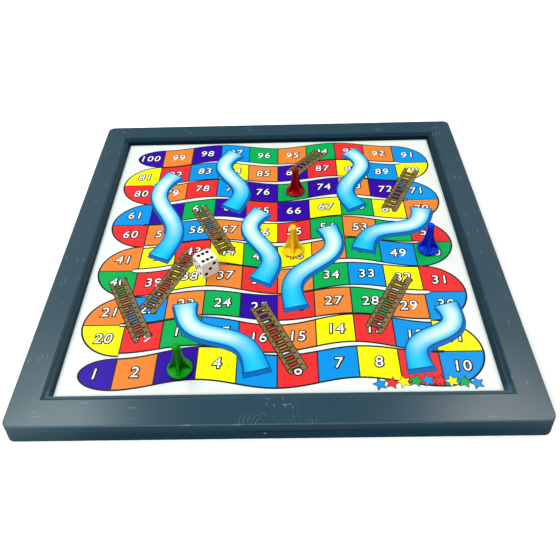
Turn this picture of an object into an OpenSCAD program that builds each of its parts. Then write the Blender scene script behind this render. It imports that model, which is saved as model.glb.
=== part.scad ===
// Framed snakes and ladders board: a moulded frame with a printed panel, four pawns and a die.
// Millimetres. The origin is in the middle of the underside, +Z is up and -Y is the player's near side.

/* [Frame] */
// Outer width of the frame, left to right
board_w = 300; // [220:1:420]
// Outer depth of the frame, near side to far side
board_d = 300; // [220:1:420]
// Height of the frame
frame_h = 13.3; // [13:0.1:20]
// Radius of the upright outer corners
corner_r = 5; // [3:0.5:9]
// Radius of the eased top outer edge
edge_r = 0.8; // [0.3:0.1:1.5]
// Width of the flat top face
face_w = 17; // [16:0.2:26]

/* [Stepped lip] */
// Drop from the top face to the ledge
step_drop = 1.5; // [0.8:0.1:2.2]
// Slope run of the step
step_run = 1.9; // [0.4:0.1:2.6]
// Width of the ledge
ledge_w = 1.6; // [1:0.1:3.4]
// Slope run of the sight wall between the ledge and the print
sight_run = 1.6; // [0.4:0.1:2.4]
// Depth of the print below the top face
recess_depth = 4.9; // [3.5:0.1:6]

/* [Underside moulding] */
// Thickness of the side walls
wall = 2; // [1.4:0.1:2.4]
// Thickness of the top wall
top_wall = 2.2; // [1.6:0.1:2.8]
// Thickness of the cross ribs
rib_t = 1.4; // [0.8:0.1:2]
// Distance between cross ribs
rib_pitch = 32; // [20:1:50]
// Height of the rib feet above the table
rib_lift = 4; // [1:0.5:6]

/* [Panel and print] */
// Thickness of the hardboard panel
panel_t = 3; // [2:0.1:4]
// Width of the panel's edge under the lip
lip_cover = 5.4; // [4.5:0.1:6.5]
// Clearance around the panel in its bed
panel_clear = 0.3; // [0.1:0.05:0.6]
// Corner radius of the panel and the sheet
panel_corner_r = 1.5; // [0.5:0.1:3]
// Thickness of the printed sheet
sheet_t = 0.3; // [0.2:0.05:0.5]
// Margin of the panel that the sheet leaves bare at each edge
sheet_margin = 0.5; // [0.2:0.1:1.5]

/* [Screws] */
// Diameter of the screw's washer head
washer_d = 8; // [7:0.1:9]
// Thickness of the washer
washer_t = 0.8; // [0.5:0.1:1.2]
// Diameter of the domed head
head_d = 5.2; // [4:0.1:6]
// Height of the domed head above its washer
head_h = 1.5; // [1:0.1:2]
// Diameter of the shank
shank_d = 2.2; // [1.8:0.1:2.6]
// Length of the shank
shank_l = 5; // [3:0.1:5.6]
// Length of each arm of the cross recess
cross_l = 2.8; // [2:0.1:3.4]
// Width of each arm of the cross recess
cross_w = 0.6; // [0.4:0.1:0.9]
// Depth of the cross recess
cross_depth = 1; // [0.5:0.1:1.2]
// Diameter of the moulded boss round each screw
boss_d = 5.6; // [5:0.1:6.6]
// Distance of each screw from the middle of its rail
screw_off = 64; // [50:1:70]
// Distance of the screw's axis outside the bed's wall
screw_set = 2.3; // [2:0.1:2.8]
// Clearance round the shank in its hole and round the washer in its pocket
screw_clear = 0.1; // [0.05:0.01:0.2]

/* [Pawns] */
// Height of a pawn
pawn_h = 23.5; // [20:0.5:30]
// Diameter of the foot
foot_d = 15; // [13:0.5:18]
// Height of the foot's upright rim
rim_h = 2.4; // [1.8:0.1:3]
// Height of the foot's dome in the middle
dome_h = 4.2; // [3.4:0.1:5]
// Diameter of the ball head
ball_d = 5.4; // [5:0.1:7]
// Thickness of a fin
fin_t = 1.7; // [1:0.1:2.2]
// Width across a pair of fins at the foot
fin_span = 13.6; // [11:0.1:13.8]
// Width across a pair of fins at the neck
neck_d = 4.7; // [4:0.1:5.4]
// Depth of the hollow in a fin's flank
flank_hollow = 1; // [0.3:0.05:1.1]
// Depth of a fin's root below the top of the rim
fin_root = 0.5; // [0.3:0.1:0.9]
// Diameter of the solid core at the foot
core_d = 4.6; // [3:0.1:6]
// Diameter of the solid core at the neck
core_top_d = 3; // [2:0.1:3.6]
// Diameter of the hollow under the foot
hollow_d = 11; // [8:0.1:12]
// Depth of the hollow under the foot
hollow_depth = 1.4; // [0.8:0.1:1.8]
// Air under the pieces, taken up by the film over the print
film_gap = 0.1; // [0.05:0.01:0.2]

/* [Die] */
// Edge length of the die
die_w = 12.6; // [10:0.1:14]
// Radius of the die's edges
die_edge_r = 0.7; // [0.4:0.1:1.4]
// Diameter of the ball that the die's corners are tumbled to
die_ball_d = 20.2; // [18.8:0.1:21]
// Diameter of a dimple at the face
pip_d = 2.8; // [1.8:0.1:3]
// Depth of a dimple
pip_depth = 0.6; // [0.4:0.05:0.8]
// Distance from the middle dimple to its neighbours
pip_pitch = 3.3; // [2.8:0.1:3.5]
// Depth of the paint's surface below the face
pip_sunk = 0.05; // [0.05:0.05:0.3]
// Gap between the paint and the dimple
pip_gap = 0.03; // [0.01:0.01:0.05]

/* [Places on the board] */
// Red pawn, right and far, as shares of the print's width and depth
red_place_share = [0.054, 0.229]; // [-0.42:0.001:0.42]
// Yellow pawn
yellow_place_share = [0.043, -0.035]; // [-0.42:0.001:0.42]
// Blue pawn
blue_place_share = [0.412, -0.038]; // [-0.42:0.001:0.42]
// Green pawn
green_place_share = [-0.224, -0.429]; // [-0.43:0.001:0.43]
// Die
die_place_share = [-0.19, -0.105]; // [-0.42:0.001:0.42]
// Turn of the red pawn's fins
red_turn = 30; // [-45:1:45]
// Turn of the yellow pawn's fins
yellow_turn = -4; // [-45:1:45]
// Turn of the blue pawn's fins
blue_turn = -6; // [-45:1:45]
// Turn of the green pawn's fins
green_turn = -1; // [-45:1:45]
// Turn of the die
die_turn = 34; // [0:1:90]

/* [Hidden] */
$fn = 96;

// Overrun of every cut
over = 1;
// Bite of a rib or a boss into the wall that it grows from
bite = over / 2;
// Width of a rail from its outer side to the print
rail_w = face_w + step_run + ledge_w + sight_run;
// Print seen inside the frame
print_w = board_w - 2 * rail_w;
print_d = board_d - 2 * rail_w;
// Outer side of the rail to the upright wall of the panel's bed
bed_set = rail_w - lip_cover;
bed_w = board_w - 2 * bed_set;
bed_d = board_d - 2 * bed_set;
// Panel that lies in the bed
panel_w = bed_w - 2 * panel_clear;
panel_d = bed_d - 2 * panel_clear;
// Levels above the table
print_z = frame_h - recess_depth;
panel_z = print_z - sheet_t - panel_t;
ceiling_z = frame_h - top_wall;
play_z = print_z + film_gap;
// Hollow channel between the outer wall and the wall of the bed
channel_w = bed_set - 2 * wall;
// Screw axis inside the outer side
screw_in = bed_set - screw_set;

// Rectangle with round corners
module rounded_rect(w, d, r) {
  square([w - 2 * r, d], center = true);
  square([w, d - 2 * r], center = true);
  for (x = [-1, 1], y = [-1, 1])
    translate([x * (w / 2 - r), y * (d / 2 - r)]) circle(r);
}

// What a rounded edge takes off: the square corner outside a quarter circle
module edge_waste(e) {
  difference() {
    square(e + over);
    circle(e);
  }
}

// Block with round upright corners and a rounded top edge
module eased_block(w, d, h, r, e) {
  difference() {
    linear_extrude(h) rounded_rect(w, d, r);
    translate([0, 0, h - e]) for (s = [0, 1]) rotate(180 * s) {
      translate([w / 2 - e, 0, 0]) rotate([90, 0, 0])
        linear_extrude(d - 2 * r, center = true) edge_waste(e);
      translate([0, d / 2 - e, 0]) rotate([90, 0, 90])
        linear_extrude(w - 2 * r, center = true) edge_waste(e);
      for (m = [0, 1]) mirror([m, 0, 0]) translate([w / 2 - r, d / 2 - r, 0])
        rotate_extrude(angle = 90) translate([r - e, 0]) edge_waste(e);
    }
  }
}

// The four sides in turn: children stand on a rail that runs along X and is as long as its side of the print
module each_rail() {
  for (s = [0, 1]) {
    let ($rail_l = print_w) rotate(180 * s) translate([0, -board_d / 2, 0]) children();
    let ($rail_l = print_d) rotate(90 + 180 * s) translate([0, -board_w / 2, 0]) children();
  }
}

// Half outline of the stepped opening for one width, turned into a full one by mirroring
module opening_outline(w) {
  half = w / 2;
  top = [half - face_w, frame_h];
  step = [half - face_w - step_run, frame_h - step_drop];
  ledge = [step[0] - ledge_w, step[1]];
  sight = [half - rail_w, print_z];
  for (m = [0, 1]) mirror([m, 0])
    polygon([[0, print_z - over], [sight[0], print_z - over], sight, ledge, step, top,
             [top[0], frame_h + over], [0, frame_h + over]]);
}

// Stepped opening: the same outline from the front and from the side
module opening() {
  intersection() {
    rotate([90, 0, 0]) linear_extrude(board_d, center = true) opening_outline(board_w);
    rotate([90, 0, 90]) linear_extrude(board_w, center = true) opening_outline(board_d);
  }
}

// Open channel of the underside
module channel() {
  translate([0, 0, -over]) linear_extrude(ceiling_z + over) difference() {
    rounded_rect(board_w - 2 * wall, board_d - 2 * wall, corner_r - wall);
    square([bed_w + 2 * wall, bed_d + 2 * wall], center = true);
  }
}

// Cross ribs of one rail
module rail_ribs() {
  n = floor($rail_l / 2 / rib_pitch - 1 / 2);
  for (i = [-n - 1 : n])
    translate([i * rib_pitch + rib_pitch / 2 - rib_t / 2, wall - bite, rib_lift])
      cube([rib_t, channel_w + 2 * bite, ceiling_z - rib_lift + bite]);
}

// Places of the two screws of one rail
module rail_screws() {
  for (s = [-1, 1]) translate([s * screw_off, screw_in, 0]) children();
}

module frame() color("#4a5d6b") difference() {
  union() {
    difference() {
      eased_block(board_w, board_d, frame_h, corner_r, edge_r);
      channel();
    }
    each_rail() rail_ribs();
    each_rail() rail_screws()
      translate([0, 0, panel_z]) cylinder(d = boss_d, h = ceiling_z - panel_z + bite);
  }
  opening();
  // Bed of the panel, open to the underside
  translate([-bed_w / 2, -bed_d / 2, -over]) cube([bed_w, bed_d, print_z + over]);
  // Pockets of the washer heads, and the pilot holes
  each_rail() rail_screws() {
    translate([0, 0, -over]) cylinder(d = washer_d + 2 * screw_clear, h = panel_z + over);
    translate([0, 0, panel_z - over])
      cylinder(d = shank_d + 2 * screw_clear, h = over + shank_l + screw_clear);
  }
}

module board_panel() color("#8a5f3c")
  translate([0, 0, panel_z]) linear_extrude(panel_t)
    rounded_rect(panel_w, panel_d, panel_corner_r);

module printed_sheet() color("#f4f6f6")
  translate([0, 0, print_z - sheet_t]) linear_extrude(sheet_t)
    rounded_rect(panel_w - 2 * sheet_margin, panel_d - 2 * sheet_margin, panel_corner_r);

// Washer-head screw with its washer face at z = 0, pointing up
module panel_screw() {
  dome_r = (head_d * head_d / 4 + head_h * head_h) / (2 * head_h);
  cylinder(d = shank_d, h = shank_l);
  mirror([0, 0, 1]) difference() {
    union() {
      cylinder(d = washer_d, h = washer_t);
      translate([0, 0, washer_t]) rotate_extrude() intersection() {
        translate([0, head_h - dome_r]) circle(dome_r);
        square([head_d / 2, head_h]);
      }
    }
    for (a = [0, 90]) rotate(a)
      translate([-cross_l / 2, -cross_w / 2, washer_t + head_h - cross_depth])
        cube([cross_l, cross_w, cross_depth + over]);
  }
}

module panel_screws() color("#c9ccce")
  each_rail() rail_screws() translate([0, 0, panel_z]) panel_screw();

// Foot of a pawn: a rim with a half-round side, a dome, and a hollow underneath
module pawn_foot() {
  rim_r = rim_h / 2;
  flat_r = foot_d / 2 - rim_r;
  rise = dome_h - rim_h;
  dome_r = (flat_r * flat_r + rise * rise) / (2 * rise);
  rotate_extrude() difference() {
    union() {
      square([flat_r, rim_h]);
      translate([flat_r, rim_r]) intersection() {
        circle(rim_r);
        translate([0, -rim_h]) square([rim_h, 2 * rim_h]);
      }
      translate([0, rim_h]) intersection() {
        translate([0, rise - dome_r]) circle(dome_r);
        square([flat_r, rise]);
      }
    }
    translate([0, -over]) square([hollow_d / 2, hollow_depth + over]);
  }
}

// Outline of a pair of fins: two hollow flanks from the neck out to the foot
module fin_outline() {
  fin_h = pawn_h - ball_d - rim_h;
  flare = (fin_span - neck_d) / 2;
  flank_l = norm([flare, fin_h]);
  flank_r = (flank_l * flank_l / 4 + flank_hollow * flank_hollow) / (2 * flank_hollow);
  set_off = (flank_r - flank_hollow) / flank_l;
  flank_x = (fin_span + neck_d) / 4 + set_off * fin_h;
  flank_z = rim_h + fin_h / 2 + set_off * flare;
  difference() {
    translate([-fin_span / 2, rim_h - fin_root]) square([fin_span, fin_root + fin_h + ball_d / 2]);
    for (s = [-1, 1]) translate([s * flank_x, flank_z]) circle(flank_r);
  }
}

// Pawn at the origin, fins along X and Y
module pawn() {
  ball_z = pawn_h - ball_d / 2;
  pawn_foot();
  for (a = [0, 90]) rotate(a) rotate([90, 0, 0]) linear_extrude(fin_t, center = true) fin_outline();
  translate([0, 0, rim_h]) cylinder(d1 = core_d, d2 = core_top_d, h = ball_z - rim_h);
  translate([0, 0, ball_z]) sphere(d = ball_d);
}

// Stands its children on the print, at a place given in shares of the print
module on_board(place_share, turn) {
  translate([place_share[0] * print_w, place_share[1] * print_d, play_z]) rotate(turn) children();
}

module red_pawn() color("#b3141c") on_board(red_place_share, red_turn) pawn();
module yellow_pawn() color("#f0b912") on_board(yellow_place_share, yellow_turn) pawn();
module blue_pawn() color("#1524c4") on_board(blue_place_share, blue_turn) pawn();
module green_pawn() color("#128a1a") on_board(green_place_share, green_turn) pawn();

// Traditional dots of a face, in steps of the pitch
function dots(n) = concat(
  n % 2 == 1 ? [[0, 0]] : [],
  n > 1 ? [[1, 1], [-1, -1]] : [],
  n > 3 ? [[1, -1], [-1, 1]] : [],
  n == 6 ? [[1, 0], [-1, 0]] : []);

// Number on each face with the turns that bring the face up to the top; opposite faces add up to seven
FACES = [[6, [0, 0, 90]], [1, [180, 0, 0]],
         [3, [90, 0, 0]], [4, [-90, 0, 0]],
         [5, [0, -90, 0]], [2, [0, 90, 0]]];

// Puts its children at every dimple of the die, with the face at z = 0 and the die below it
module each_dot() {
  for (face = FACES, dot = dots(face[0]))
    rotate(face[1]) translate([dot[0] * pip_pitch, dot[1] * pip_pitch, die_w / 2]) children();
}

// Radius of the ball that cuts a dimple
function dimple_r() = (pip_d * pip_d / 4 + pip_depth * pip_depth) / (2 * pip_depth);

// Stands its children, built round the middle of the die, where the die lies
module at_die() {
  on_board(die_place_share, die_turn) translate([0, 0, die_w / 2]) children();
}

module die() color("#f2f0ec") at_die() difference() {
  intersection() {
    for (turn = [[0, 0, 0], [90, 0, 0], [0, 90, 0]])
      rotate(turn) linear_extrude(die_w, center = true) rounded_rect(die_w, die_w, die_edge_r);
    sphere(d = die_ball_d);
  }
  each_dot() translate([0, 0, dimple_r() - pip_depth]) sphere(dimple_r());
}

module die_pips() color("#141414") at_die() each_dot() intersection() {
  translate([0, 0, dimple_r() - pip_depth]) sphere(dimple_r() - pip_gap);
  translate([-pip_d / 2, -pip_d / 2, -pip_depth]) cube([pip_d, pip_d, pip_depth - pip_sunk]);
}

frame();
board_panel();
printed_sheet();
panel_screws();
red_pawn();
yellow_pawn();
blue_pawn();
green_pawn();
die();
die_pips();
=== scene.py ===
import math
import random

import bmesh
import bpy
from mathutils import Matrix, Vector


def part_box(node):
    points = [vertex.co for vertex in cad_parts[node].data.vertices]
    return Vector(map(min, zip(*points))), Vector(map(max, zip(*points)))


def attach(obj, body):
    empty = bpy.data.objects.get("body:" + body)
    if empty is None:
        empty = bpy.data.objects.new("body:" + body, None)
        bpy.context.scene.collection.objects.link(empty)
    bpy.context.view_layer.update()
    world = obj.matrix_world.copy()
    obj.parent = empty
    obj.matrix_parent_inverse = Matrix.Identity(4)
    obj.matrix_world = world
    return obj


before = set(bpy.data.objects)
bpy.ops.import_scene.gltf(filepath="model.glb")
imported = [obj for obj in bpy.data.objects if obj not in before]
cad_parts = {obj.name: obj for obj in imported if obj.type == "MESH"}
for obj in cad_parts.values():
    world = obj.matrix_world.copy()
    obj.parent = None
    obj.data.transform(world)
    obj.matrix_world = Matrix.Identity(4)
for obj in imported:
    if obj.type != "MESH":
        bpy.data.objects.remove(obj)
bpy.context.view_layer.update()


# Moulded frame: one injection moulding in slate-grey plastic, satin from a finely blasted tool.
# The melt came in at a gate low on the near side and left ripples round it, and handling left short
# pale scuffs along the rails. The frame carries everything else.
class Socket:
    """A socket in a material's nodes: sums on it add Math nodes, and node() adds any other node."""

    def __init__(self, tree, link=None):
        self.tree = tree
        self.link = link

    def node(self, kind, settings=None, inputs=None, output=0):
        """Adds a node, sets it up, links its inputs and gives one of its outputs."""
        made = self.tree.nodes.new("ShaderNode" + kind)
        for name, value in (settings or {}).items():
            if name == "stops":
                ramp = made.color_ramp.elements
                while len(ramp) < len(value):
                    ramp.new(1.0)
                for stop, (position, colour) in zip(ramp, value):
                    stop.position = position
                    stop.color = colour
            else:
                setattr(made, name, value)
        for name, value in (inputs or {}).items():
            if isinstance(value, Socket):
                self.tree.links.new(value.link, made.inputs[name])
            else:
                made.inputs[name].default_value = value
        return Socket(self.tree, made.outputs[output])

    def math(self, operation, *values):
        return self.node("Math", {"operation": operation}, dict(enumerate(values)))

    def __add__(self, other):
        return self.math("ADD", self, other)

    def __sub__(self, other):
        return self.math("SUBTRACT", self, other)

    def __rsub__(self, other):
        return self.math("SUBTRACT", other, self)

    def __mul__(self, other):
        return self.math("MULTIPLY", self, other)

    def __truediv__(self, other):
        return self.math("DIVIDE", self, other)

    def __abs__(self):
        return self.math("ABSOLUTE", self)

    __radd__ = __add__
    __rmul__ = __mul__

    def axis(self, index):
        """One axis of this vector: 0 for x, 1 for y, 2 for z."""
        return self.node("SeparateXYZ", {}, {0: self}, output=index)

    def stretch(self, x, y, z):
        """This vector with each axis scaled."""
        return self.node("VectorMath", {"operation": "MULTIPLY"}, {0: self, 1: (x, y, z)})

    def noise(self, scale, detail=2.0, rough=0.5):
        """Cloudy noise from 0 to 1 on this vector."""
        return self.node("TexNoise", {},
                         {"Vector": self, "Scale": scale, "Detail": detail, "Roughness": rough})

    def fade(self, start, end):
        """0 at start and before it, 1 at end and past it, eased in between; end may be the lower one."""
        return self.node("MapRange", {"interpolation_type": "SMOOTHSTEP"},
                         {"Value": self, "From Min": start, "From Max": end})

    def mix(self, first, second):
        """From the first colour to the second as this value goes from 0 to 1."""
        return self.node("Mix", {"data_type": "RGBA"}, {0: self, 6: first, 7: second}, output=2)

    def bump(self, height):
        """A normal for a surface that this value raises by up to height metres."""
        return self.node("Bump", {}, {"Height": self, "Distance": height})


def screen(red, green, blue):
    """A colour as seen on a screen, 0 to 255, as linear light."""
    channels = [value / 255 for value in (red, green, blue)]
    linear = [c / 12.92 if c <= 0.04045 else ((c + 0.055) / 1.055) ** 2.4 for c in channels]
    return (*linear, 1.0)


def start_finish(name):
    """A new material, and a socket of its nodes that gives the place on the piece in metres."""
    made = bpy.data.materials.new(name)
    made.use_nodes = True
    return made, Socket(made.node_tree).node("TexCoord", output="Object")


def end_finish(made, values):
    """Sets or links the main shader's sockets by name."""
    shader = made.node_tree.nodes["Principled BSDF"]
    for name, value in values.items():
        if isinstance(value, Socket):
            made.node_tree.links.new(value.link, shader.inputs[name])
        else:
            shader.inputs[name].default_value = value
    return made


def dress(node, made):
    """Gives one of the solids its finish."""
    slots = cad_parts[node].data.materials
    slots.clear()
    slots.append(made)


frame_low, frame_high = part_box("frame")
face_w = 0.017
lip_w = 0.0051
lip_out = frame_high.x - face_w
lip_in = lip_out - lip_w
gate = (-0.0066, frame_low.y, 0.0056)
parting_z = 0.0068
ripple_pitch = 0.002327


def dashes(place, along, across, cell_l, cell_w, share, reach=0.14):
    """Short dashes: the middles of long random cells, out to a reach, and only in a share of them."""
    wander_w = 0.006
    wander = place.noise(38.0) * wander_w
    laid = place.node("CombineXYZ", {}, {0: along / cell_l, 1: (across + wander) / cell_w})
    flat_cells = {"voronoi_dimensions": "2D"}
    cells = {"Vector": laid, "Scale": 1.0}
    near = place.node("TexVoronoi", flat_cells, cells, output="Distance").fade(reach, 0.36 * reach)
    chosen = place.node("TexVoronoi", flat_cells, cells, output="Color").axis(0)
    return near * chosen.fade(share, share - 0.02)


def scuff_marks(place, x, y):
    """Scuffs that run along each rail, in patches."""
    side_rail = (abs(x) - abs(y)).fade(-0.001, 0.001)
    on_sides = dashes(place, y, x, 0.02125, 0.0025, 0.28)
    on_near_and_far = dashes(place, x, y, 0.0275, 0.003125, 0.24)
    patchy = place.noise(23.0, 1.0).fade(0.34, 0.52)
    return (side_rail * on_sides + (1 - side_rail) * on_near_and_far) * patchy


def flow_marks(place, x, y):
    """Marks of the melt: a patch of short jets over the gate, and a fan of ripples on each side of it."""
    away_x = x - gate[0]
    away_y = y - gate[1]
    patch_x = (away_x - 0.006) / 0.015
    patch_y = (away_y - 0.012) / 0.010
    in_patch = (patch_x * patch_x + patch_y * patch_y).fade(0.8, 0.3)
    jets = dashes(place, y, x, 0.005625, 0.00175, 0.7, 0.26) * in_patch
    square = away_x * away_x + away_y * away_y
    away = square.math("SQRT", square)
    turn = away * (2 * math.pi / ripple_pitch) + 2.2 * place.noise(110.0, 1.0)
    crests = turn.math("SINE", turn).fade(0.6, 0.97) * place.noise(160.0, 1.0).fade(0.42, 0.56)
    left_fan = away_x.fade(-0.018, -0.012) * away_x.fade(0.0, -0.004)
    right_fan = away_x.fade(0.012, 0.016) * away_x.fade(0.03, 0.024)
    ripples = crests * (left_fan + right_fan) * away_y.fade(0.009, 0.003)
    return 0.75 * jets + 0.6 * ripples


def slate_plastic():
    """Blasted top faces, smoother walls painted darker as shade, a sunk lip with painted shade and painted
    light, a painted highlight on the outer edge, painted light on the near side, and the marks of moulding
    and handling.
    """
    made, place = start_finish("slate_plastic")
    x, y, z = (place.axis(i) for i in range(3))
    facing_up = place.node("NewGeometry", output="True Normal").axis(2)
    depth = frame_high.z - z
    marks = (scuff_marks(place, x, y) + flow_marks(place, x, y)) * depth.fade(0.0008, 0.0002)

    on_lip = abs(x).math("MAXIMUM", abs(x), abs(y)).fade(lip_out + 0.0003, lip_out + 0.0001)
    sunk = on_lip * depth.fade(0.0005, 0.0014)
    deep = on_lip * depth.fade(0.0016, 0.0030)
    near_lip = on_lip * y.fade(0.0039 - lip_in, 0.0009 - lip_in)
    far_lip = on_lip * y.fade(lip_in - 0.0039, lip_in - 0.0009)
    left_lip = on_lip * x.fade(0.0079 - lip_in, 0.0019 - lip_in)
    near_side = y.fade(frame_low.y + 0.0012, frame_low.y + 0.0004)
    level = on_lip * facing_up.fade(0.6, 0.98) + (1 - on_lip) * facing_up.fade(0.1, 0.6)
    # Painted light: the near lip is given the top's paler colour and gloss.
    level = level + 0.8 * near_lip * (1 - level)

    cloudy = place.noise(26.0, 3.0)
    fine = place.noise(2600.0, 2.0)
    mottle = cloudy * 0.7 + fine * 0.3
    blasted = mottle.mix(screen(29, 57, 71), screen(43, 72, 87))
    # Painted shade: the walls' colour is darker than the top's, so faces that do not face up look shaded.
    shaded_wall_tone = mottle.mix(screen(10, 38, 52), screen(18, 46, 61))
    # Painted shading on the near side only: it is tinted bluer, more so towards the floor, and painted
    # lighter towards its top edge and its two ends, most at the left.
    near_side_tint = near_side * (0.65 + 0.3 * z.fade(0.006, 0.0))
    ends = 0.32 * x.fade(-0.08, frame_low.x) + 0.10 * x.fade(0.1, frame_high.x)
    painted_light_near_side = near_side * (0.14 * z.fade(0.004, 0.0125) + ends)
    wall = painted_light_near_side.mix(near_side_tint.mix(shaded_wall_tone, screen(12, 46, 61)), screen(82, 106, 112))
    # Painted highlight: the rounded outer edge is painted paler.
    tilted = facing_up.fade(0.15, 0.45) * facing_up.fade(0.995, 0.96)
    edge_highlight = (1 - on_lip) * tilted * depth.fade(0.0023, 0.0013)
    eased = (edge_highlight * 0.3).mix(level.mix(wall, blasted), screen(96, 118, 126))
    marked = (marks * 0.3).mix(eased, screen(150, 168, 176))
    # Painted light and painted shade in the sunk lip: its slopes and walls are painted paler, most on the
    # left, the near lip a little paler too, and the ledge and the far wall painted darker.
    lip_light_amount = (0.08 + 0.4 * left_lip) * (1 - 0.75 * deep) + 0.1 * deep
    painted_lip_light = 0.1 * near_lip + on_lip * (1 - level) * (1 - far_lip) * lip_light_amount
    painted_lip_shade = 0.5 * deep * y.fade(0.1, 0.125) + (0.2 + 0.25 * level) * sunk * (1 - near_lip)
    lip = painted_lip_shade.mix(painted_lip_light.mix(marked, screen(92, 122, 132)), screen(2, 10, 16))
    beside_gate = x.fade(-0.03, -0.012) * x.fade(0.085, 0.03)
    parting = near_side * abs(z - parting_z).fade(0.0007, 0.0003) * beside_gate
    colour = (parting * 0.8).mix(lip, screen(2, 18, 28))

    gloss = (0.85 + 0.15 * cloudy) * (0.1 + 0.9 * level) * (1 - 0.7 * sunk)
    grain = 0.25 * fine + 0.5 * marks + 1.2 * cloudy - 0.6 * parting
    return end_finish(made, {"Base Color": colour, "Roughness": 0.6 + 0.2 * cloudy + 0.1 * fine,
                             "Normal": grain.bump(0.00004), "IOR": 1.08, "Coat Weight": gloss,
                             "Coat IOR": 1.33, "Coat Roughness": 0.24})


dress("frame", slate_plastic())


# Gate scar: the stub of the runner, twisted off by hand, on the near side of the frame.
# It is the same plastic, torn, so it is a small rough lump that catches the light.
def new_piece(name, grid, made, body):
    """Makes a finished mesh a piece of the scene that rides on a body."""
    mesh = bpy.data.meshes.new(name)
    grid.to_mesh(mesh)
    grid.free()
    mesh.materials.append(made)
    piece = bpy.data.objects.new(name, mesh)
    bpy.context.scene.collection.objects.link(piece)
    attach(piece, body)


def torn_plastic():
    made, place = start_finish("torn_plastic")
    torn = place.noise(1900.0, 3.0)
    pulled = torn.fade(0.3, 0.6) * place.axis(2).fade(gate[2] + 0.0002, gate[2] - 0.0002)
    colour = pulled.mix(screen(10, 18, 24), screen(166, 182, 190))
    return end_finish(made, {"Base Color": colour, "Roughness": 0.3 + 0.4 * torn,
                             "Normal": torn.bump(0.0001)})


def gate_scar():
    half_w, half_h, proud = 0.00075, 0.0008, 0.0003
    shake = random.Random(4)
    grid = bmesh.new()
    bmesh.ops.create_icosphere(grid, subdivisions=3, radius=1.0)
    for vert in grid.verts:
        x, y, z = vert.co * (1 + shake.uniform(-0.16, 0.16))
        vert.co = (gate[0] + x * half_w, gate[1] + y * proud, gate[2] + z * half_h)
    new_piece("gate_scar", grid, torn_plastic(), "board")


gate_scar()


# Hardboard panel: pressed wood fibre 3 mm thick that closes the underside and backs the print.
# Its lower face has the mesh of the press screen in it.
def hardboard():
    made, place = start_finish("hardboard")
    fibre = place.stretch(1.0, 0.35, 1.0).noise(900.0, 4.0, 0.65)
    clump = place.noise(60.0, 3.0)
    weave_x = place.node("TexWave", {"bands_direction": "X"}, {"Vector": place, "Scale": 180.0})
    weave_y = place.node("TexWave", {"bands_direction": "Y"}, {"Vector": place, "Scale": 180.0})
    mesh_mark = weave_x * weave_y
    colour = (0.55 * fibre + 0.3 * clump + 0.2 * mesh_mark).mix(screen(84, 56, 34), screen(158, 114, 74))
    return end_finish(made, {"Base Color": colour, "Roughness": 0.62 + 0.25 * fibre,
                             "Normal": (fibre + 1.5 * mesh_mark).bump(0.00012)})


dress("board_panel", hardboard())


# Panel screws: zinc-plated steel screws with a washer head and a cross recess, two to a rail.
# They clamp the edge of the panel up against the lip.
def zinc_plate():
    made, place = start_finish("zinc_plate")
    spangle = place.noise(1400.0, 3.0)
    stain = place.noise(300.0, 2.0)
    colour = stain.mix(screen(196, 198, 200), screen(226, 222, 210))
    return end_finish(made, {"Base Color": colour, "Metallic": 1.0, "Roughness": 0.26 + 0.18 * spangle,
                             "Normal": spangle.bump(0.00002)})


dress("panel_screws", zinc_plate())


# Printed sheet: white coated paper with a satin film over it, glued to the panel.
# The bare margin shows the paper's own faint cloudiness under the film, and a painted shadow darkens it
# along the lip.
def coated_paper():
    made, place = start_finish("coated_paper")
    cloud = place.noise(45.0, 4.0)
    tooth = place.noise(1500.0, 2.0)
    white = (0.7 * cloud + 0.3 * tooth).mix(screen(218, 223, 221), screen(228, 233, 231))
    x, y = (abs(place.axis(i)) for i in range(2))
    # Painted shadow: the paper is darkened in a band along the lip.
    painted_lip_shadow = x.math("MAXIMUM", x, y).fade(lip_in - 0.0021, lip_in - 0.0001) * (0.3 + 0.2 * cloud)
    colour = painted_lip_shadow.mix(white, screen(110, 124, 130))
    return end_finish(made, {"Base Color": colour, "Roughness": 0.34 + 0.08 * cloud,
                             "Normal": (cloud + 0.2 * tooth).bump(0.00002)})


dress("printed_sheet", coated_paper())


# Track: ten wavy rows of ten squares that wind up the sheet, each pair of rows joined by a round end.
# Six process inks on a dark key plate, which shows between the squares as a thin line.
film_ior = 1.2
ink_step = 0.00001
key_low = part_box("printed_sheet")[1].z
key_top = key_low + ink_step
ink_top = key_top + ink_step


def printing_ink(name, colour, band=0.08):
    """Ink under the film: the same hue all over, with faint cloudiness and the bands of the print head."""
    made, place = start_finish(name)
    cloud = place.noise(70.0, 3.0)
    bands = place.stretch(1.0, 0.04, 1.0).noise(700.0, 2.0)
    dark = tuple(c * (1 - band) for c in colour[:3])
    pale = tuple(c * (1 + band) for c in colour[:3])
    shade = (0.5 * cloud + 0.5 * bands).mix((*dark, 1.0), (*pale, 1.0))
    return end_finish(made, {"Base Color": shade, "Roughness": 0.33 + 0.08 * cloud,
                             "Normal": cloud.bump(0.00001), "IOR": film_ior})


def print_flat(name, outlines, low, high, made):
    """One piece of thin flat solids, one for each outline of (x, y) points, from low to high."""
    grid = bmesh.new()
    for outline in outlines:
        bottom = [grid.verts.new((x, y, low)) for x, y in outline]
        top = [grid.verts.new((x, y, high)) for x, y in outline]
        faces = [grid.faces.new(reversed(bottom)), grid.faces.new(top)]
        for i in range(len(outline)):
            faces.append(grid.faces.new((bottom[i - 1], bottom[i], top[i], top[i - 1])))
        bmesh.ops.recalc_face_normals(grid, faces=faces)
    new_piece(name, grid, made, "board")


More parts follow.
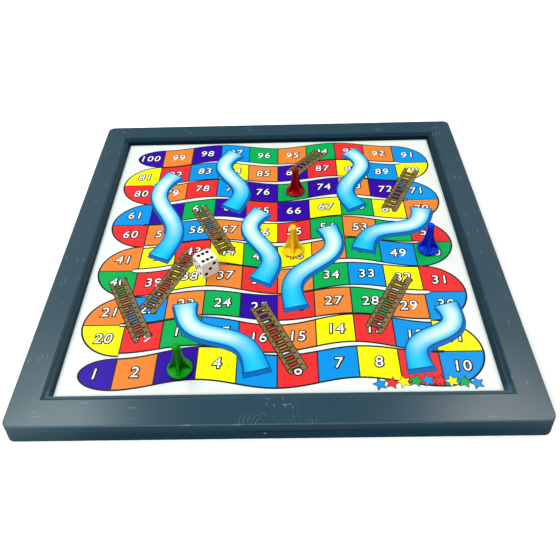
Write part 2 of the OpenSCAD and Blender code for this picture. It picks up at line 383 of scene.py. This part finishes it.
columns = 10
rows = range(10)
numbers = range(1, 101)
square_w = 0.024
row_h = 0.0242
lowest_row_y = -0.1078
straight = (columns / 2 - 1) * square_w
end_reach = 0.0268
lone_reach = 0.021
wave_h = 0.0034
wave_l = straight
gap_w = 0.0046
gap_end = straight + 0.0040
line_w = 0.0008


def seam(row, x):
    """Middle of the gap above a row."""
    return lowest_row_y + (row + 0.5) * row_h - wave_h * math.cos(2 * math.pi * x / wave_l)


def half_gap(row, x):
    """Half the gap above a row: it swells and narrows, and ends in a half circle where the rows join."""
    if row < rows[0] or row == rows[-1]:
        return 0.0
    along = x if row % 2 == 0 else -x
    half = gap_w / 2 * (0.62 + 0.38 * math.sin(2 * math.pi * x / (1.3 * wave_l) + 1.9 * row))
    past = along - (gap_end - half)
    if past >= half:
        return 0.0
    return half if past <= 0 else math.sqrt(half * half - past * past)


def row_end(row, side, inset):
    """The gap that a row bends round at one side, whether no other row joins there, and the end's reach."""
    gap = row if (row % 2 == 0) == (side > 0) else row - 1
    lone = gap < rows[0] or gap == rows[-1]
    return gap, lone, (lone_reach if lone else end_reach) - inset


def row_edges(row, x, inset):
    """Lower and upper edge of a row at x, drawn in by inset."""
    side = 1 if x > 0 else -1
    at = side * min(abs(x), straight)
    low = seam(row - 1, at) + max(half_gap(row - 1, x) + inset, 0 if row else inset)
    high = seam(row, at) - max(half_gap(row, x) + inset, 0 if row < rows[-1] else inset)
    past = abs(x) - straight
    if past <= 0:
        return low, high
    gap, lone, reach = row_end(row, side, inset)
    root = math.sqrt(max(0.0, 1 - (past / reach) ** 2))
    if lone:
        middle = (low + high) / 2
        return middle - (middle - low) * root, middle + (high - middle) * root
    middle = seam(gap, at)
    if gap == row:
        return min(high, middle - (middle - seam(row - 1, at) - inset) * root), high
    return low, max(low, middle + (seam(row, at) - inset - middle) * root)


def stations(row, start, end, inset):
    """Places along a row where its edges are drawn: closer together round the ends."""
    wave_steps, end_steps, gap_steps = 48, 20, 10
    found = [straight * i / wave_steps for i in range(-wave_steps, wave_steps + 1)]
    for side in (-1, 1):
        reach = row_end(row, side, inset)[2]
        turns = [math.pi / 2 * i / end_steps for i in range(1, end_steps + 1)]
        found += [side * (straight + reach * math.sin(turn)) for turn in turns]
        found += [side * (gap_end - gap_w * i / gap_steps) for i in range(gap_steps)]
    return [start, *sorted(x for x in found if start < x < end), end]


def row_outline(row, start, end, inset):
    """Closed outline of a row, or of one square of it, between two places."""
    lower, upper = [], []
    for x in stations(row, start, end, inset):
        low, high = row_edges(row, x, inset)
        if high - low > 1e-6:
            lower.append((x, low))
            upper.append((x, high))
        elif not lower or lower[-1] != (x, low):
            lower.append((x, low))
    return lower + upper[::-1]


def row_span(row, inset):
    """Leftmost and rightmost place of a row."""
    return [side * (straight + row_end(row, side, inset)[2]) for side in (-1, 1)]


def square_place(number):
    """Row and column of a numbered square: every second row runs from right to left."""
    row, along = divmod(number - 1, columns)
    return row, along if row % 2 == 0 else columns - 1 - along


def square_outline(number, inset):
    """Closed outline of a numbered square, drawn in by inset."""
    row, column = square_place(number)
    left, right = row_span(row, inset)
    start = left if column == 0 else (column - columns / 2) * square_w + inset
    end = right if column == columns - 1 else (column + 1 - columns / 2) * square_w - inset
    return row_outline(row, start, end, inset)


def square_middle(number):
    """Middle of a numbered square."""
    row, column = square_place(number)
    x = (column + 0.5 - columns / 2) * square_w
    return x, sum(row_edges(row, x, 0.0)) / 2


key_ink = printing_ink("key_ink", screen(22, 28, 32))
whole_rows = [row_outline(row, *row_span(row, -line_w), -line_w) for row in rows]
print_flat("track_key_plate", whole_rows, key_low, key_top, key_ink)

inks = {
    "yellow": screen(242, 240, 0),
    "red": screen(224, 44, 46),
    "green": screen(0, 164, 78),
    "sky": screen(0, 140, 220),
    "orange": screen(224, 126, 50),
    "indigo": screen(46, 0, 156),
}
pick = random.Random(23)
square_inks = {}
for number in numbers:
    row, column = square_place(number)
    beside = {square_inks.get(spot) for spot in ((row, column - 1), (row, column + 1), (row - 1, column))}
    free = [name for name in inks if name not in beside]
    square_inks[row, column] = pick.choices(free, [0.5 if name == "indigo" else 1.0 for name in free])[0]
for ink_name, colour in inks.items():
    outlines = [square_outline(number, line_w / 2) for number in numbers
                if square_inks[square_place(number)] == ink_name]
    print_flat("squares_" + ink_name, outlines, key_top, ink_top, printing_ink("ink_" + ink_name, colour))


# Numbers: plain sloping figures from 1 to 100, white with a dark edge, one in each square.
# The dark figures are printed first and a little fatter, and the white ones lie on them.
figure_h = 0.0107
edge_grow = 0.00082
edge_drop = (0.0001, -0.00015)
edge_top = ink_top + ink_step
figure_top = edge_top + ink_step


def figures(name, grow, drop, low, high, made):
    """All the numbers as one piece of thin solids, fattened by grow and shifted."""
    letters = bpy.data.curves.new(name, "FONT")
    letters.size = figure_h
    letters.shear = 0.08
    letters.align_x = "CENTER"
    letters.align_y = "CENTER"
    letters.space_character = 1.12
    letters.resolution_u = 3
    letters.offset = grow
    letters.extrude = (high - low) / 2
    writer = bpy.data.objects.new(name + "_writer", letters)
    bpy.context.scene.collection.objects.link(writer)
    grid = bmesh.new()
    for number in numbers:
        letters.body = str(number)
        x, y = square_middle(number)
        writer.location = (x + drop[0], y + drop[1], (low + high) / 2)
        bpy.context.view_layer.update()
        shape = bpy.data.meshes.new_from_object(writer.evaluated_get(bpy.context.evaluated_depsgraph_get()))
        shape.transform(writer.matrix_world)
        grid.from_mesh(shape)
        bpy.data.meshes.remove(shape)
    bmesh.ops.remove_doubles(grid, verts=grid.verts, dist=1e-7)
    bpy.data.objects.remove(writer)
    new_piece(name, grid, made, "board")


white_ink = printing_ink("white_ink", screen(250, 251, 252), 0.02)
figures("number_edges", edge_grow, edge_drop, ink_top, edge_top, key_ink)
figures("number_faces", 0.0, (0.0, 0.0), edge_top, figure_top, white_ink)


# Slides: water-blue channels from a higher square to a lower one, in an easy double bend.
# The bed is white at the head and bluer at the open foot. A deep blue lip edges it, and below it shows
# the outside of its wall.
bed_half = 0.0058
flare_l = 0.005
bed_lip_w = 0.0008
wall_edge = 0.0005
wall_drop = (0.0004, -0.0026)
rim_top = figure_top + ink_step
wall_top = rim_top + ink_step
bed_lip_top = wall_top + ink_step
bed_top = bed_lip_top + ink_step


def slide_line(top, foot, sway):
    """Places down a slide: the middle, the unit vector to the left and half the width."""
    (x0, y0), (x1, y1) = square_middle(top), square_middle(foot)
    run = math.hypot(x1 - x0, y1 - y0)
    across = ((y1 - y0) / run, (x0 - x1) / run)
    steps = 56
    shares = [i / steps for i in range(steps + 1)]
    middles = []
    for t in shares:
        off = sway * math.sin(2 * math.pi * t) * (1 - 0.25 * t)
        middles.append((x0 + (x1 - x0) * t + across[0] * off, y0 + (y1 - y0) * t + across[1] * off))
    line = []
    for i, (t, (x, y)) in enumerate(zip(shares, middles)):
        (xa, ya), (xb, yb) = middles[max(i - 1, 0)], middles[min(i + 1, steps)]
        step = math.hypot(xb - xa, yb - ya)
        flare = 1 + 0.3 * math.exp(-t * run / flare_l) + 0.3 * t ** 7
        line.append((x, y, (ya - yb) / step, (xb - xa) / step, bed_half * flare))
    return line


def slide_outline(line, grow, drop):
    """Closed outline of a slide, grown all round and shifted."""
    sides = []
    for sign in (1, -1):
        side = []
        for x, y, nx, ny, half in line:
            reach = sign * (half + grow)
            side.append([x + nx * reach + drop[0], y + ny * reach + drop[1]])
        for end, ahead in ((0, -grow), (-1, grow)):
            nx, ny = line[end][2:4]
            side[end][0] += ny * ahead
            side[end][1] -= nx * ahead
        sides.append(side)
    return sides[0] + sides[1][::-1]


def slide_bed_ink():
    made, place = start_finish("slide_bed_ink")
    laid = place.node("UVMap", {"uv_map": "across_along"})
    along = laid.axis(1)
    streaks = laid.stretch(7.0, 1.4, 1.0).noise(1.0, 2.0)
    sheen = laid.axis(0) + 0.1 * (place.noise(75.0) - 0.5) + 0.12 * (streaks - 0.5)
    upper = sheen.node("ValToRGB", {"stops": [
        (0.0, screen(44, 158, 220)), (0.1, screen(96, 196, 236)), (0.28, screen(176, 224, 238)),
        (0.48, screen(222, 236, 238)), (0.7, screen(190, 228, 238)), (0.9, screen(112, 202, 236)),
        (1.0, screen(56, 166, 224))]}, {0: sheen})
    lower = sheen.node("ValToRGB", {"stops": [
        (0.0, screen(10, 142, 214)), (0.2, screen(16, 178, 230)), (0.5, screen(34, 192, 234)),
        (0.82, screen(20, 180, 230)), (1.0, screen(10, 146, 216))]}, {0: sheen})
    wet = (along + 0.25 * (place.noise(60.0) - 0.5)).fade(0.35, 0.95) + 0.55 * along.fade(0.12, 0.0)
    return end_finish(made, {"Base Color": wet.mix(upper, lower),
                             "Roughness": 0.33 + 0.08 * place.noise(70.0), "IOR": film_ior})


def slide_beds(name, lines, low, high, made):
    """All the beds as thin flat strips; their map runs across and along each strip."""
    grid = bmesh.new()
    flat_map = grid.loops.layers.uv.new("across_along")
    for line in lines:
        rings = []
        for x, y, nx, ny, half in line:
            left, right = (x + nx * half, y + ny * half), (x - nx * half, y - ny * half)
            corners = ((*left, high), (*right, high), (*right, low), (*left, low))
            rings.append([grid.verts.new(corner) for corner in corners])
        last = len(rings) - 1
        for i in range(last):
            for j, k in ((0, 1), (1, 2), (2, 3), (3, 0)):
                face = grid.faces.new((rings[i][j], rings[i][k], rings[i + 1][k], rings[i + 1][j]))
                for loop, ring, corner in zip(face.loops, (i, i, i + 1, i + 1), (j, k, k, j)):
                    loop[flat_map].uv = (1.0 if corner in (1, 2) else 0.0, ring / last)
        for end in (0, last):
            for loop in grid.faces.new(rings[end]).loops:
                loop[flat_map].uv = (0.5, end / last)
    bmesh.ops.recalc_face_normals(grid, faces=grid.faces)
    new_piece(name, grid, made, "board")


slides = [slide_line(*slide) for slide in (
    (97, 64, 0.009), (93, 68, -0.009), (82, 42, 0.010), (65, 36, 0.009),
    (70, 48, -0.008), (54, 26, -0.010), (23, 5, 0.008), (30, 9, -0.008))]
slide_edge_ink = printing_ink("slide_edge_ink", screen(2, 74, 132))
slide_wall_ink = printing_ink("slide_wall_ink", screen(2, 100, 176), 0.25)
print_flat("slide_rims", [slide_outline(line, bed_lip_w + wall_edge, wall_drop) for line in slides],
           figure_top, rim_top, slide_edge_ink)
print_flat("slide_walls", [slide_outline(line, bed_lip_w, wall_drop) for line in slides],
           rim_top, wall_top, slide_wall_ink)
print_flat("slide_lips", [slide_outline(line, bed_lip_w, (0.0, 0.0)) for line in slides],
           wall_top, bed_lip_top, slide_edge_ink)
slide_beds("slide_beds", slides, bed_lip_top, bed_top, slide_bed_ink())


# Ladders: brown wooden ladders from a lower square to a higher one, two rails and close rungs.
# One rail is drawn broader, as the nearer one, and a dark brown edge is printed under all of it.
rail_widths = (0.0020, 0.0032)
rung_w = 0.0027
rung_face = 0.0009
rung_pitch = 0.0046
first_rung_share = 0.6
ladder_half = 0.0043
ladder_edge = 0.0005
edge_wood_top = bed_top + ink_step
rung_top = edge_wood_top + ink_step
wood_top = rung_top + ink_step


def bar(start, end, width):
    """Outline of a straight bar with half-round ends."""
    (x0, y0), (x1, y1) = start, end
    heading = math.atan2(y1 - y0, x1 - x0)
    turns = [heading + math.pi / 2 + math.pi * i / 8 for i in range(9)]
    back = [(x0 + width / 2 * math.cos(a), y0 + width / 2 * math.sin(a)) for a in turns]
    front = [(x1 - width / 2 * math.cos(a), y1 - width / 2 * math.sin(a)) for a in turns]
    return back + front


def printed_wood(name, dark, pale):
    made, place = start_finish(name)
    grain = place.noise(260.0, 2.0)
    colour = grain.fade(0.2, 0.8).mix(dark, pale)
    return end_finish(made, {"Base Color": colour, "Roughness": 0.36 + 0.06 * grain, "IOR": film_ior})


rails, rungs = [], []
for foot, top in ((19, 40), (6, 25), (22, 43), (44, 63), (13, 32), (86, 94), (69, 90)):
    (x0, y0), (x1, y1) = square_middle(foot), square_middle(top)
    run = math.hypot(x1 - x0, y1 - y0)
    ux, uy = (x1 - x0) / run, (y1 - y0) / run
    ox, oy = -uy * ladder_half, ux * ladder_half
    for side, width in zip((1, -1), rail_widths):
        rails.append(((x0 + ox * side, y0 + oy * side), (x1 + ox * side, y1 + oy * side), width))
    for i in range(int(run / rung_pitch)):
        up = rung_pitch * (i + first_rung_share)
        mx, my = x0 + ux * up, y0 + uy * up
        rungs.append(((mx - ox, my - oy), (mx + ox, my + oy)))
print_flat("ladder_edges", [bar(start, end, width + 2 * ladder_edge) for start, end, width in rails]
           + [bar(*ends, rung_w + 2 * ladder_edge) for ends in rungs], bed_top, edge_wood_top,
           printed_wood("ladder_edge_ink", screen(38, 22, 10), screen(50, 30, 16)))
print_flat("ladder_rungs", [bar(*ends, rung_w) for ends in rungs], edge_wood_top, rung_top,
           printed_wood("rung_ink", screen(60, 38, 20), screen(78, 50, 30)))
print_flat("ladder_wood", [bar(*ends, rung_face) for ends in rungs] + [bar(*rail) for rail in rails],
           rung_top, wood_top, printed_wood("rail_ink", screen(108, 90, 56), screen(134, 116, 78)))


# Stars: a row of nine small plain stars along the near right end of the track.
# They are printed over it in its own inks, each with a dark edge.
star_count = 9
star_r = 0.0039
star_edge = 0.0009
star_pitch = 0.0069
star_start = (0.0590, -0.1218)
star_rise = 0.0022
star_tilt = 0.25


def star(x, y, size, tilt):
    """Outline of a five-pointed star."""
    turns = [tilt + math.pi / 2 + math.pi * i / 5 for i in range(10)]
    return [(x + size * reach * math.cos(a), y + size * reach * math.sin(a))
            for a, reach in zip(turns, (1.0, 0.5) * 5)]


star_row = []
for i in range(star_count):
    lift = star_rise * math.sin(math.pi * i / (star_count - 1))
    star_row.append((star_start[0] + star_pitch * i, star_start[1] + lift, star_tilt * (-1) ** i))
print_flat("star_edges", [star(x, y, star_r + star_edge, tilt) for x, y, tilt in star_row],
           ink_top, edge_top, key_ink)
star_inks = ("sky", "red", "yellow", "green")
for first, ink_name in enumerate(star_inks):
    own = star_row[first::len(star_inks)]
    print_flat("stars_" + ink_name, [star(x, y, star_r, tilt) for x, y, tilt in own],
               edge_top, figure_top, bpy.data.materials["ink_" + ink_name])


# Pawns: four small mouldings in bright plastic, each with a ball, four fins and a domed foot.
# They stand loose on the film over the print. Each is coloured from a shaded and a lit copy of its plastic,
# with painted light on faces that point up and painted shade in the hollows between the fins.
def pawn_plastic(name, deep, lit_colour, scatter):
    made, place = start_finish(name)
    swirl = place.noise(260.0, 2.0)
    skin = place.noise(1800.0, 2.0)
    soft_edge = place.node("Bevel", {"samples": 6}, {"Radius": 0.0003})
    raised = swirl + 0.2 * skin
    normal = place.node("Bump", {}, {"Height": raised, "Distance": 0.00001, "Normal": soft_edge})
    occlusion_shade = place.node("AmbientOcclusion", {"samples": 8}, {"Distance": 0.004}, output="AO")
    facing_up = place.node("NewGeometry", output="True Normal").axis(2)
    # Painted light and shade: faces that point up take the lit colour, and hollows and steep faces the dark
    # one.
    painted_light_and_shade = facing_up.fade(-0.1, 0.75) * 0.55 + occlusion_shade.fade(0.4, 0.95) * 0.35 + swirl.fade(0.25, 0.75) * 0.1
    return end_finish(made, {"Base Color": painted_light_and_shade.mix(deep, lit_colour),
                             "Roughness": 0.3 + 0.08 * swirl, "Normal": normal, "IOR": 1.22,
                             "Subsurface Weight": scatter, "Subsurface Radius": (0.9, 0.9, 0.9),
                             "Subsurface Scale": 0.0015})


dress("red_pawn", pawn_plastic("red_pawn_plastic", screen(98, 0, 0), screen(162, 0, 12), 0.1))
dress("yellow_pawn", pawn_plastic("yellow_pawn_plastic", screen(218, 142, 0), screen(252, 216, 8), 0.25))
dress("blue_pawn", pawn_plastic("blue_pawn_plastic", screen(0, 0, 146), screen(0, 52, 218), 0.1))
dress("green_pawn", pawn_plastic("green_pawn_plastic", screen(0, 36, 0), screen(0, 156, 8), 0.1))


# Die: a tumbled and polished cube of white plastic with drilled dimples, filled with black paint.
# It lies loose on the print with the six up.
def die_plastic():
    made, place = start_finish("die_plastic")
    swirl = place.noise(220.0, 2.0)
    rub = place.noise(2400.0, 2.0)
    return end_finish(made, {"Base Color": swirl.mix(screen(232, 228, 222), screen(246, 244, 240)),
                             "Roughness": 0.2 + 0.12 * swirl, "Normal": (swirl + 0.2 * rub).bump(0.00002),
                             "Subsurface Weight": 0.2, "Subsurface Scale": 0.001})


def black_paint():
    made, place = start_finish("black_paint")
    drag = place.noise(1600.0, 2.0)
    return end_finish(made, {"Base Color": drag.mix(screen(2, 2, 2), screen(9, 8, 8)),
                             "Roughness": 0.5 + 0.2 * drag, "Normal": drag.bump(0.00003), "IOR": 1.2})


dress("die", die_plastic())
dress("die_pips", black_paint())


# Floor, lights and camera: a plain white sweep that glows a little, so that shadows stay faint. Two small
# soft boxes and two fills stand behind the board, and broad boxes at its left, right and front.
# The camera stands where the photograph was taken from.
def floor_white():
    made, place = start_finish("floor_white")
    colour = place.noise(3.0).mix(screen(246, 247, 248), screen(250, 251, 252))
    return end_finish(made, {"Base Color": colour, "Roughness": 0.9, "Emission Color": (1.0, 1.0, 1.0, 1.0),
                             "Emission Strength": 0.3})


floor_half = 4.0
floor_corners = [(x * floor_half, y * floor_half, 0.0) for x, y in ((-1, -1), (1, -1), (1, 1), (-1, 1))]
floor_mesh = bpy.data.meshes.new("floor")
floor_mesh.from_pydata(floor_corners, [], [(0, 1, 2, 3)])
floor_mesh.materials.append(floor_white())
floor = bpy.data.objects.new("floor", floor_mesh)
bpy.context.scene.collection.objects.link(floor)

board_middle = (frame_low + frame_high) / 2


def soft_box(name, place, width, depth, power, tint=(1.0, 1.0, 1.0)):
    """A soft light that faces the middle of the board."""
    lamp = bpy.data.lights.new(name, "AREA")
    lamp.shape = "RECTANGLE"
    lamp.size = width
    lamp.size_y = depth
    lamp.energy = power
    lamp.color = tint
    stand = bpy.data.objects.new(name, lamp)
    bpy.context.scene.collection.objects.link(stand)
    stand.location = place
    stand.rotation_euler = (stand.location - board_middle).to_track_quat("Z", "Y").to_euler()


soft_box("rear_left_box", (-0.61, 0.49, 1.15), 0.44, 0.22, 6.2, (0.90, 1.0, 0.94))
soft_box("rear_right_box", (0.53, 0.48, 1.15), 0.40, 0.22, 5.4, (1.0, 0.98, 0.9))
soft_box("rear_left_fill", (-1.05, 1.40, 1.3), 1.1, 0.9, 2.8)
soft_box("rear_right_fill", (1.00, 1.40, 1.3), 1.1, 0.9, 2.4)
soft_box("left_box", (-1.3, -0.35, 1.2), 1.0, 1.0, 9.4)
soft_box("right_box", (1.3, -0.35, 1.2), 1.0, 1.0, 7.6)
soft_box("front_box", (-0.75, -1.2, 1.05), 1.2, 0.8, 16.6)

studio = bpy.data.worlds.new("studio")
studio.use_nodes = True
studio.node_tree.nodes["Background"].inputs["Color"].default_value = (1.0, 1.0, 1.0, 1.0)
studio.node_tree.nodes["Background"].inputs["Strength"].default_value = 0.15
bpy.context.scene.world = studio
bpy.context.scene.view_settings.view_transform = "Standard"

lens = bpy.data.cameras.new("camera")
lens.sensor_width = 36.0
lens.lens = 43.850
lens.shift_x = 0.0075
lens.shift_y = -0.1798
lens.clip_start = 0.01
camera = bpy.data.objects.new("camera", lens)
bpy.context.scene.collection.objects.link(camera)
camera.location = (0.00961, -0.36348, 0.33781)
camera.rotation_euler = [math.radians(turn) for turn in (53.0938, 1.6178, 0.2539)]
bpy.context.scene.camera = camera
